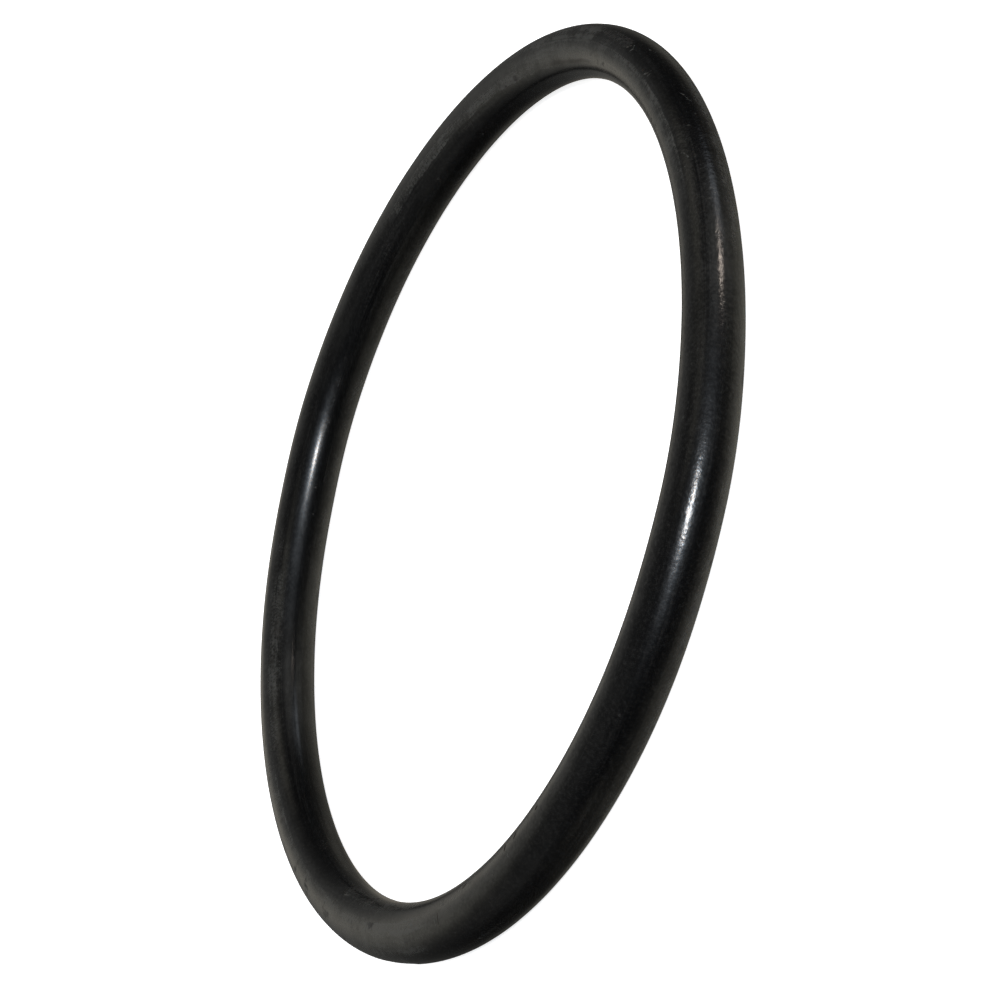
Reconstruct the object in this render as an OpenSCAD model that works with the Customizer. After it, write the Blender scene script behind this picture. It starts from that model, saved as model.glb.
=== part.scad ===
// Rubber o-ring: a round cord of rubber, moulded as one closed ring.
// It lies flat in the XY plane, with the centre of the ring at the origin and its axis along Z.

/* [Ring] */
// Inside diameter, measured between the inner lands of the parting line
inner_d = 75.57; // [20:0.01:300]
// Diameter of the round section, which is also the height of the ring as it lies flat
section_d = 5.33; // [2:0.01:10]

/* [Parting line] */
// Width of the narrow band, inside and outside, where the moulding flash is trimmed off flush
land_w = 0.5; // [0.2:0.05:1]

/* [Appearance] */
// Colour of the rubber
rubber_colour = "#161616"; // ["#161616":Black, "#3a2a20":Brown, "#7c3524":Rust red]

/* [Hidden] */
// Flats that stand in for the round section and for the ring when it is drawn as a mesh
section_facets = 64;
ring_facets = 240;
// Distance from the middle of the section to each land, where the trim cuts across the round
land_x = sqrt(pow(section_d, 2) - pow(land_w, 2)) / 2;
// Radius of the circle that the middle of the section follows round the axis
centre_r = inner_d / 2 + land_x;

// The round moulded section, with the mould's parting line trimmed to a flat land on both sides
module trimmed_section() {
    intersection() {
        circle(d = section_d, $fn = section_facets);
        square([2 * land_x, section_d], center = true);
    }
}

// The whole ring: the trimmed section turned once round the axis
module o_ring() {
    color(rubber_colour)
        rotate_extrude($fn = ring_facets)
            translate([centre_r, 0])
                trimmed_section();
}

o_ring();
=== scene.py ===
import math

import bmesh
import bpy
from mathutils import Matrix, Quaternion, Vector, noise


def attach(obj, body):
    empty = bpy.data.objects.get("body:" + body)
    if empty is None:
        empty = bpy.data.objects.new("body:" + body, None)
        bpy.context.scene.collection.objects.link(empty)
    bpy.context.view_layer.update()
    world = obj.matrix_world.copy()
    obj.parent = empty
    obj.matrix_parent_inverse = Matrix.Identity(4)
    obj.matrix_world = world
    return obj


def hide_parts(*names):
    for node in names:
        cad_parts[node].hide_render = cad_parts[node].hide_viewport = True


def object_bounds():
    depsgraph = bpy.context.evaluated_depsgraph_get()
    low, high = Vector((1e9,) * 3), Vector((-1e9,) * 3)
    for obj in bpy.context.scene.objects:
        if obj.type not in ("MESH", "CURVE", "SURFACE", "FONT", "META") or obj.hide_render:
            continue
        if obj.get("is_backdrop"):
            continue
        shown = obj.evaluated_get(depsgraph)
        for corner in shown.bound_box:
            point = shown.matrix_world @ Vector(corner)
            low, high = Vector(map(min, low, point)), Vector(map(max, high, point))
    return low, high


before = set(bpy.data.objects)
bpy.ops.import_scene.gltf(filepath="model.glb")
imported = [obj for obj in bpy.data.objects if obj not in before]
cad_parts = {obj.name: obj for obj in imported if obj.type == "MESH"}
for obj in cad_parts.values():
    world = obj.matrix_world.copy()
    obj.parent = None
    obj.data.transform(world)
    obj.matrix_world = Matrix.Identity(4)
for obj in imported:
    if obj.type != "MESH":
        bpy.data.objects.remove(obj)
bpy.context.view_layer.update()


# The ring. It is a round cord of black rubber, moulded as one closed ring between two halves of
# a mould, and trimmed flush along the parting line, inside and outside. The trim leaves a land
# half a millimetre wide. Rubber is soft, so the ring lies a touch out of round.
inside_d = 0.07557
cord_d = 0.00533
land_w = 0.0005
land_x = math.sqrt(cord_d**2 - land_w**2) / 2
centre_r = inside_d / 2 + land_x
cord_segments = 96
ring_arcs = 24
arc_steps = 30

# How the soft ring strays from round: where it lies, then (times round, cos, sin) for the line
# through the middle of the cord and for the cord's own half thickness.
lie_shift = Vector((-0.000077, 0.000034, 0))
ring_waves = (
    (2, -0.000053, -0.000037),
    (3, 0.000153, -0.000084),
    (4, 0.000077, -0.000045),
    (5, 0.000054, -0.000024),
)
cord_waves = (
    (1, -0.000112, 0.000003),
    (2, -0.000062, 0.000036),
)
cord_thin = 0.000042

# Two slight bends, one on each long side: where, over how many degrees, and how steeply it leans.
bends = ((273.0, 8.0, 0.026), (92.0, 8.0, -0.032))

# A shallow dent on the outside: from and to round the ring, over how many degrees it sinks and
# comes up again, below which height round the cord it lies, and over how many degrees it fades.
dent_start = 186.0
dent_end = 195.5
dent_sink = 6
dent_rise = 1
dent_top = 30
dent_fade = 12
dent_depth = 0.00004

# The skin's own slight ripple.
skin_ripple = 0.000006
ripple_per_m = 260


def wave(turn, waves):
    return sum(c * math.cos(n * turn) + s * math.sin(n * turn) for n, c, s in waves)


def bend(turn):
    """How far the line through the middle of the cord is off, by the bends."""
    off = 0
    for bent_at, reach, lean in bends:
        away = math.remainder(math.degrees(turn) - bent_at, 360)
        off += lean * math.radians(away) * centre_r * math.exp(-((away / reach) ** 2) / 2)
    return off


def dent(turn, cord_turn):
    """How deep the dent is: it sinks slowly, and comes up again in a small step."""
    along = math.degrees(turn) % 360
    sunk = min(1, max(0, (along - dent_start) / dent_sink))
    risen = min(1, max(0, (dent_end - along) / dent_rise))
    low_down = min(1, max(0, (dent_top - math.degrees(cord_turn)) / dent_fade))
    return dent_depth * sunk * risen * low_down


bm = bmesh.new()
upright = Matrix.Translation((centre_r, 0, 0)) @ Matrix.Rotation(math.radians(90), 4, "X")
bmesh.ops.create_circle(bm, cap_ends=True, segments=cord_segments, radius=cord_d / 2, matrix=upright)
for side in (-1, 1):
    bmesh.ops.bisect_plane(
        bm,
        geom=bm.verts[:] + bm.edges[:] + bm.faces[:],
        plane_co=(centre_r + side * land_x, 0, 0),
        plane_no=(side, 0, 0),
        clear_outer=True,
    )
bmesh.ops.delete(bm, geom=bm.faces[:], context="FACES_ONLY")
bmesh.ops.spin(
    bm,
    geom=bm.verts[:] + bm.edges[:],
    cent=(0, 0, 0),
    axis=(0, 0, 1),
    angle=math.radians(360 / ring_arcs),
    steps=arc_steps,
)
bmesh.ops.spin(
    bm,
    geom=bm.verts[:] + bm.edges[:] + bm.faces[:],
    cent=(0, 0, 0),
    axis=(0, 0, 1),
    angle=math.radians(360 - 360 / ring_arcs),
    steps=ring_arcs - 1,
    use_duplicate=True,
)
bmesh.ops.remove_doubles(bm, verts=bm.verts[:], dist=1e-6)
bmesh.ops.recalc_face_normals(bm, faces=bm.faces[:])
for v in bm.verts:
    turn = math.atan2(v.co.y, v.co.x)
    out = Vector((math.cos(turn), math.sin(turn), 0))
    middle = out * centre_r
    from_middle = v.co - middle
    scale = 1 + (wave(turn, cord_waves) - cord_thin) / (cord_d / 2)
    cord_turn = math.atan2(from_middle.z, from_middle.dot(out))
    rise = skin_ripple * noise.noise(v.co * ripple_per_m) - dent(turn, cord_turn)
    rise = rise * from_middle.normalized()
    v.co = middle + out * (wave(turn, ring_waves) + bend(turn)) + from_middle * scale + rise + lie_shift
mesh = bpy.data.meshes.new("rubber_ring")
bm.to_mesh(mesh)
bm.free()
mesh.shade_smooth()
ring = bpy.data.objects.new("rubber_ring", mesh)
bpy.context.scene.collection.objects.link(ring)
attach(ring, "root")
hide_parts("o_ring")

# The rubber's finish. The skin is satin black, with the mould's fine orange-peel grain and flow
# lines along the cord. Over it lie a thin uneven film of grey bloom, dust specks, brown stains
# and light scuffs, and one faint grey patch of painted highlight glow.
black = (0.0023, 0.0024, 0.0027, 1)
film_and_glow_grey = (0.0420, 0.0420, 0.0402, 1)
stain_brown = (0.0120, 0.0078, 0.0052, 1)
dust_grey = (0.070, 0.069, 0.065, 1)
skin_roughness = 0.205
film_roughness = 0.40
dust_roughness = 0.80
film_shine = 0.34
stain_shine = 0.2
bump_depth = 0.000014

# How many swirls or cells each of the skin's patterns has to a metre.
clouds_per_m = 140
wander_per_m = 420
stains_per_m = 700
motes_per_m = 1500
peel_per_m = 1500
flecks_per_m = 3600
grain_per_m = 3800

rubber = bpy.data.materials.new("black_rubber")
rubber.use_nodes = True
tree = rubber.node_tree
skin = tree.nodes["Principled BSDF"]


def node(kind, *feeds, **settings):
    """A shader node with its settings, and what feeds its inputs in order: a socket or a value."""
    made = tree.nodes.new("ShaderNode" + kind)
    for name, value in settings.items():
        setattr(made, name, value)
    for socket, feed in zip(made.inputs, feeds):
        if isinstance(feed, bpy.types.NodeSocket):
            tree.links.new(feed, socket)
        elif feed is not None:
            socket.default_value = feed
    return made


def sums(operation, *feeds):
    return node("Math", *feeds, operation=operation).outputs[0]


def over(amount, under, top):
    """A colour or a number with another laid over it by an amount."""
    kind = "RGBA" if isinstance(top, tuple) else "FLOAT"
    mixed = node("Mix", data_type=kind)
    first = 6 if kind == "RGBA" else 2
    for socket, feed in ((0, amount), (first, under), (first + 1, top)):
        if isinstance(feed, bpy.types.NodeSocket):
            tree.links.new(feed, mixed.inputs[socket])
        else:
            mixed.inputs[socket].default_value = feed
    return mixed.outputs[first // 3]


def fade(value, start, end, low=0.0, high=1.0):
    """Runs smoothly from low to high while the value goes from start to end."""
    smooth = node("MapRange", value, start, end, low, high, interpolation_type="SMOOTHSTEP")
    return smooth.outputs[0]


def speckle(per_m, detail, place):
    spots = node("TexNoise", place)
    spots.inputs["Scale"].default_value = per_m
    spots.inputs["Detail"].default_value = detail
    return spots


def around(place):
    """Where a point of the skin is: its directions from the ring's axis and from the cord's middle."""
    axes = node("SeparateXYZ", place)
    flat = node("CombineXYZ", axes.outputs[0], axes.outputs[1], 0.0).outputs[0]
    from_axis = node("VectorMath", flat, operation="LENGTH").outputs["Value"]
    off_middle = sums("SUBTRACT", from_axis, centre_r)
    to_skin = node("CombineXYZ", off_middle, axes.outputs[2], 0.0).outputs[0]
    return [node("VectorMath", way, operation="NORMALIZE").outputs[0] for way in (flat, to_skin)]


place = node("TexCoord").outputs["Object"]
round_ring, round_cord = around(place)


def along_cord(length, width, detail, seed):
    """Noise in streaks that follow the cord, of about this length and width in metres."""
    across = cord_d / 2 / width
    turns = node("VectorMath", round_ring, operation="SCALE")
    turns.inputs["Scale"].default_value = centre_r / length
    lean = node("SeparateXYZ", round_cord)
    lift = node("CombineXYZ", 0.0, 0.0, sums("MULTIPLY", lean.outputs[0], across))
    where = node("VectorMath", turns.outputs[0], lift.outputs[0], operation="ADD")
    streaks = node("TexNoise", noise_dimensions="4D")
    tree.links.new(where.outputs[0], streaks.inputs["Vector"])
    tree.links.new(sums("MULTIPLY_ADD", lean.outputs[1], across, seed), streaks.inputs["W"])
    streaks.inputs["Scale"].default_value = 1
    streaks.inputs["Detail"].default_value = detail
    return streaks.outputs["Fac"]


def past(way, degrees, soft):
    """Turns from 0 to 1 where a direction passes an angle, over this many degrees either side."""
    turn = math.radians(degrees + 90)
    beyond = node("VectorMath", way, (math.cos(turn), math.sin(turn), 0), operation="DOT_PRODUCT")
    edge = math.sin(math.radians(soft))
    return fade(beyond.outputs["Value"], -edge, edge)


# The film of bloom and dust, and one patch of painted highlight glow. Each patch is (from and to
# round the ring, how soft its two ends are, from and to round the cord, how soft its two sides
# are, amount), in degrees. Their edges are a little ragged, by about a quarter of a millimetre.
ragged_by = (0.0006, 0.0006, 0.0006)
film_and_glow_patches = (
    (316, 355.3, 8, 0.5, 75.5, 119, 1.6, 4, 0.38),
    (343.5, 352.4, 0.8, 0.6, 36, 74, 5, 1.5, 0.20),
    (352.6, 378, 0.9, 8, 34, 74.5, 6, 1.5, 0.95),
    (355.4, 372, 0.4, 6, 76, 116, 1.5, 3, 0.54),
    (8, 52, 9, 10, 112, 131.5, 5, 2.0, 0.62),
    (140, 187.5, 12, 0.6, 62, 107, 8, 3, 0.52),
    (187.5, 203, 0.6, 3, 74, 101, 3, 3, 0.75),
    (180, 203, 8, 4, 35, 68, 8, 6, 0.45),
    (176, 200, 8, 6, 126, 160, 8, 8, 0.35),
    (206, 268, 12, 16, 93, 116, 5, 5, 0.33),
    (106, 134, 10, 14, 108, 134, 11, 9, 0.36),
    (300, 321, 9, 4, 42, 66, 4, 3, 0.08),
    (307, 340, 6, 4, -36, -3, 8, 7, 0.60),
    (236, 296, 12, 16, -70, -24, 10, 12, 0.30),
    # Painted highlight glow: this faint grey patch lightens the skin round the far side's sharp streak,
    # standing in for the streak's bluish halo.
    (79, 98, 5, 6, 146, 163, 5, 5, 0.14),
    (40, 140, 20, 30, 205, 250, 10, 10, 0.25),
)
wander = speckle(wander_per_m, 3, place)
off_centre = node(
    "VectorMath", wander.outputs["Color"], (0.5, 0.5, 0.5), operation="SUBTRACT"
).outputs[0]
ragged = node("VectorMath", off_centre, ragged_by, place, operation="MULTIPLY_ADD")
ragged_ring, ragged_cord = around(ragged.outputs[0])
film_and_glow = 0.0
for start, end, soft_start, soft_end, low, high, soft_low, soft_high, amount in film_and_glow_patches:
    patch = sums("MULTIPLY", past(ragged_ring, start, soft_start), past(ragged_ring, end - 180, soft_end))
    patch = sums("MULTIPLY", patch, past(ragged_cord, low, soft_low))
    patch = sums("MULTIPLY", patch, past(ragged_cord, high - 180, soft_high))
    film_and_glow = sums("MULTIPLY_ADD", patch, amount, film_and_glow)

# Flow lines along the cord and soft clouds break the film up. Where the lines are strong, it lies
# thinly outside the patches too.
fine_flow = along_cord(0.0085, 0.00020, 3, 3.1)
broad_flow = along_cord(0.030, 0.0008, 2, 8.7)
clouds = speckle(clouds_per_m, 4, place).outputs["Fac"]
flow = sums("ADD", fine_flow, broad_flow)
film_and_glow = sums("MULTIPLY", film_and_glow, fade(flow, 0.72, 1.32, 0.35, 1.6))
film_and_glow = sums("MULTIPLY", film_and_glow, sums("MULTIPLY_ADD", clouds, 1.2, 0.4))
film_and_glow = sums("MULTIPLY", film_and_glow, fade(wander.outputs["Fac"], 0.38, 0.62, 0.5, 1.5))
film_and_glow = sums("ADD", film_and_glow, fade(flow, 0.95, 1.5, 0.0, 0.20))

# Dust lies in specks of about a fifth of a millimetre, a few all over and more on the film.
motes = node("TexVoronoi", place)
motes.inputs["Scale"].default_value = motes_per_m
kept = node("SeparateColor", motes.outputs["Color"]).outputs[0]
share = sums("MULTIPLY_ADD", film_and_glow, -0.12, 0.97)
speck = fade(motes.outputs["Distance"], 0.32, 0.06, 0.0, 0.25)
dust = sums("MULTIPLY", speck, fade(kept, share, 1.0))

# Single marks. Each is (round the ring, round the cord, turn, half length, half width), in
# degrees and millimetres, then its amount. A turn of 0 is along the cord. Their edges are shaken
# a little too, and an oval reaches just deep enough into the rubber to cover the skin.
shaken_by = (0.0004, 0.0004, 0.0004)
mark_depth = 0.0006
scuffs = (
    (355.1, 50, 60, 0.45, 0.25, 0.47),
    (343.2, 52, 35, 0.42, 0.20, 0.60),
    (342.4, 47, -30, 0.34, 0.18, 0.50),
    (342.0, 55, 80, 0.30, 0.16, 0.50),
    (343.6, 42, 10, 0.28, 0.16, 0.42),
    (339.8, 27.5, 20, 0.22, 0.16, 0.57),
    (335.3, 65, 65, 0.42, 0.17, 0.50),
    (334.6, 62, 75, 0.34, 0.15, 0.40),
    (328.0, 25, 40, 0.60, 0.06, 0.85),
    (327.4, 21, 35, 0.70, 0.06, 0.76),
    (326.8, 17, 55, 0.40, 0.06, 0.66),
    (317.8, 64, 50, 0.45, 0.13, 0.55),
    (317.2, 59, 30, 0.50, 0.14, 0.55),
    (315.8, 66, 70, 0.30, 0.08, 0.47),
    (311.6, 22, 85, 0.30, 0.07, 0.66),
    (311.0, 19, 80, 0.30, 0.07, 0.66),
    (310.4, 17, 85, 0.25, 0.07, 0.57),
    (225.8, 80, 90, 0.30, 0.10, 0.76),
    (207.3, 76, 88, 0.70, 0.09, 0.57),
    (201.2, 90, 30, 0.30, 0.18, 0.76),
    (194.2, 86, 20, 0.45, 0.25, 0.57),
    (177.5, 131, 15, 0.45, 0.12, 0.57),
    (120.5, 128, 5, 1.60, 0.10, 0.32),
)
stains = (
    (336.3, 66, 0, 0.24, 0.20, 1.0),
    (233.5, 93.5, 10, 0.40, 0.20, 0.9),
    (227.9, 97, 40, 0.45, 0.22, 0.9),
    (225.4, 98, 70, 0.40, 0.20, 0.9),
    (215.0, 106, 20, 0.60, 0.20, 0.8),
    (208.2, 76.5, 88, 0.75, 0.10, 0.8),
    (188.0, 94, 88, 0.90, 0.09, 0.35),
    (146.5, 90, 70, 0.30, 0.14, 0.30),
    (303.8, 13.5, 30, 0.20, 0.18, 0.9),
    (354.5, 121, 0, 2.6, 0.40, 0.35),
    (358.0, 124, 0, 2.8, 0.45, 0.40),
    (2.5, 126, 0, 2.8, 0.45, 0.35),
)


def spot(around_ring, around_cord, turn, half_length, half_width):
    """1 at one place on the skin, falling to 0 at the edge of a small oval."""
    ring_turn, cord_turn = math.radians(around_ring), math.radians(around_cord)
    reach = centre_r + cord_d / 2 * math.cos(cord_turn)
    at = (reach * math.cos(ring_turn), reach * math.sin(ring_turn), cord_d / 2 * math.sin(cord_turn))
    facing = (math.radians(turn), -cord_turn, ring_turn)
    size = (mark_depth, half_length / 1000, half_width / 1000)
    oval = node("Mapping", shaken, at, facing, size, vector_type="TEXTURE").outputs[0]
    inside = node("TexGradient", oval, gradient_type="SPHERICAL").outputs["Fac"]
    return fade(inside, 0.0, 0.65)


shaken = node("VectorMath", off_centre, shaken_by, place, operation="MULTIPLY_ADD").outputs[0]
scuffed = 0.0
for *where, amount in scuffs:
    scuffed = sums("MULTIPLY_ADD", spot(*where), amount, scuffed)
flecks = speckle(flecks_per_m, 4, place).outputs["Fac"]
dust = sums("MULTIPLY_ADD", scuffed, fade(flecks, 0.42, 0.60, 0.2, 1.4), dust)
blots = speckle(stains_per_m, 2, place).outputs["Fac"]
stain = sums("MULTIPLY", fade(blots, 0.57, 0.70), film_and_glow)
for *where, amount in stains:
    stain = sums("MULTIPLY_ADD", spot(*where), amount, stain)

# The layers from the skin up: brown stains, the film and its painted highlight glow with the grain
# showing through, and dust.
grain = speckle(grain_per_m, 3, place).outputs["Fac"]
film_and_glow = sums("MULTIPLY", film_and_glow, fade(grain, 0.36, 0.64, 0.4, 1.6))
film_and_glow = sums("ADD", film_and_glow, fade(flecks, 0.48, 0.78, 0.0, 0.12))
tinted = over(film_and_glow, over(stain, black, stain_brown), film_and_glow_grey)
tinted = over(dust, tinted, dust_grey)
tree.links.new(tinted, skin.inputs["Base Color"])
roughness = over(dust, over(film_and_glow, skin_roughness, film_roughness), dust_roughness)
roughness = over(stain, roughness, dust_roughness)
tree.links.new(roughness, skin.inputs["Roughness"])

# The skin shines unevenly, and its orange-peel grain is coarser along one part of the ring.
haze = sums("MULTIPLY_ADD", wander.outputs["Fac"], 0.8, flecks)
shine = over(film_and_glow, fade(haze, 0.62, 1.12, 0.40, 0.70), film_shine)
shine = over(stain, shine, stain_shine)
tree.links.new(shine, skin.inputs["Specular IOR Level"])
peel = speckle(peel_per_m, 1, place).outputs["Fac"]
coarse_at = (math.cos(math.radians(-52)), math.sin(math.radians(-52)), 0)
coarse = node("VectorMath", round_ring, coarse_at, operation="DOT_PRODUCT").outputs["Value"]
bumps = node("Bump")
bumps.inputs["Distance"].default_value = bump_depth
tree.links.new(fade(coarse, 0.55, 1.0, 0.22, 1.5), bumps.inputs["Strength"])
tree.links.new(sums("MULTIPLY_ADD", peel, 0.8, grain), bumps.inputs["Height"])
tree.links.new(bumps.outputs[0], skin.inputs["Normal"])
mesh.materials.append(rubber)


# The floor: a plain white sheet, flat under the ring. The camera sees it as pure white, apart
# from the ring's soft shadow.
floor_half = 3
floor_white = 0.8
floor_glow = 0.85
lowest = min(v.co.z for v in mesh.vertices)
bm = bmesh.new()
bmesh.ops.create_grid(
    bm, x_segments=1, y_segments=1, size=floor_half, matrix=Matrix.Translation((0, 0, lowest))
)
sheet_mesh = bpy.data.meshes.new("floor")
bm.to_mesh(sheet_mesh)
bm.free()
floor = bpy.data.objects.new("floor", sheet_mesh)
bpy.context.scene.collection.objects.link(floor)
floor.visible_glossy = False
floor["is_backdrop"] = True

paper = bpy.data.materials.new("white_paper")
paper.use_nodes = True
tree = paper.node_tree
tree.nodes.clear()
matt = node("BsdfDiffuse", (floor_white, floor_white, floor_white, 1)).outputs[0]
glow = node("Emission", (1, 1, 1, 1), floor_glow).outputs[0]
seen = node("LightPath").outputs["Is Camera Ray"]
sheet = node("MixShader", seen, matt, node("AddShader", matt, glow).outputs[0]).outputs[0]
node("OutputMaterial", sheet)
sheet_mesh.materials.append(paper)


# The room that the rubber reflects: a dim studio with soft patches of light from paper, walls and
# a ceiling. The camera sees plain white past the ring.
dim_wall = 0.004

# A patch is (direction, height, width) in degrees, then its level and colour. Direction 0 is away
# from the camera, and 90 is towards the top of the picture.
warm = (1.06, 1.02, 0.87)
plain = (1.01, 1.01, 0.96)
cool = (0.91, 1.0, 1.10)
blue = (0.46, 1.0, 1.54)
amber = (1.13, 1.02, 0.83)
patches = (
    (25, -75, 26, 0.37, warm),
    (110, -55, 30, 0.38, warm),
    (-130, -55, 26, 0.25, warm),
    (-10, 10, 36, 0.20, plain),
    (-10, 10, 12, 0.36, amber),
    (110, -20, 12, 0.38, plain),
    (160, 25, 24, 0.60, cool),
    (180, 35, 12, 0.80, cool),
    (174, 28, 9, 1.00, blue),
    (110, 20, 16, 0.58, plain),
    (-35, 30, 18, 0.31, warm),
    (0, 50, 26, 0.22, plain),
    (60, 50, 12, 0.51, warm),
    (120, 65, 12, 0.42, warm),
    (-100, 60, 24, 0.14, plain),
    (-115, -10, 12, 0.13, warm),
    (40, -25, 12, 0.15, warm),
    (-85, 20, 20, 0.13, plain),
    (6, -22, 10, 0.22, amber),
    (-5, 20, 11, 0.08, warm),
    (-24, -48, 12, 0.13, warm),
    (15, -58, 12, 0.13, warm),
    (99, -4, 8, 1.50, cool),
)
room = bpy.data.worlds.new("studio")
room.use_nodes = True
tree = room.node_tree
tree.nodes.clear()
look = node("TexCoord").outputs["Generated"]
total = node("CombineXYZ", dim_wall, dim_wall, dim_wall).outputs[0]
for az, el, width, level, tint in patches:
    az, el = math.radians(az), math.radians(el)
    towards = (math.sin(az) * math.cos(el), math.cos(az) * math.cos(el), math.sin(el))
    tightness = 1 / (1 - math.cos(math.radians(width)))
    near = node("VectorMath", look, towards, operation="DOT_PRODUCT").outputs["Value"]
    spread = sums("EXPONENT", sums("MULTIPLY_ADD", near, tightness, -tightness))
    light = [level * part for part in tint]
    total = node("VectorMath", spread, light, total, operation="MULTIPLY_ADD").outputs[0]
lit = node("Background", total).outputs[0]
white = node("Background", (1, 1, 1, 1)).outputs[0]
seen = node("LightPath").outputs["Is Camera Ray"]
node("OutputWorld", node("MixShader", seen, lit, white).outputs[0])
bpy.context.scene.world = room


# The lamps: a bluish one just behind the camera with a small warm bulb in its middle, which make
# the sharp streaks on the near side and on the far side, a short low strip off towards the top of
# the picture for the weaker warm streak, and a large even one overhead that isn't reflected.
# Each is (name, place, width, height, watts, colour, whether the rubber reflects it).
lamps = (
    ("key_lamp", (0.0385, -0.334, 0.176), 0.042, 0.042, 0.33, (0.64, 1.0, 1.32), True),
    ("bulb_lamp", (0.0385, -0.334, 0.176), 0.014, 0.014, 0.24, (1.52, 0.97, 0.50), True),
    ("strip_lamp", (0.43, -0.22, 0.004), 0.045, 0.024, 0.20, (1.14, 0.98, 0.86), True),
    ("fill_lamp", (0.0, 0.0, 1.2), 1.6, 1.6, 12.0, (1.0, 1.0, 1.0), False),
)
for name, lamp_at, across, tall, watts, tint, reflected in lamps:
    bulb = bpy.data.lights.new(name, "AREA")
    bulb.shape = "RECTANGLE"
    bulb.size = across
    bulb.size_y = tall
    bulb.energy = watts
    bulb.color = tint
    lamp = bpy.data.objects.new(name, bulb)
    lamp.location = lamp_at
    lamp.rotation_euler = (-Vector(lamp_at)).to_track_quat("-Z", "Y").to_euler()
    lamp.visible_camera = False
    lamp.visible_glossy = reflected
    bpy.context.scene.collection.objects.link(lamp)


# The camera looks down on the ring as it lies, and is rolled on its side, so that the ring
# stands upright in the picture.
lens_at = Vector((0, -0.27125, 0.12277))
aimed_at = Vector((-0.0006, -0.00502, 0))
roll = -75.8
eye = bpy.data.cameras.new("camera")
eye.sensor_width = 36
eye.lens = 118.92
eye.clip_start = 0.01
eye.clip_end = 20
camera = bpy.data.objects.new("camera", eye)
camera.location = lens_at
aim = (aimed_at - lens_at).to_track_quat("-Z", "Y")
camera.rotation_euler = (aim @ Quaternion((0, 0, 1), math.radians(roll))).to_euler()
bpy.context.scene.collection.objects.link(camera)
bpy.context.scene.camera = camera
bpy.context.scene.view_settings.view_transform = "Standard"

low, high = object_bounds()
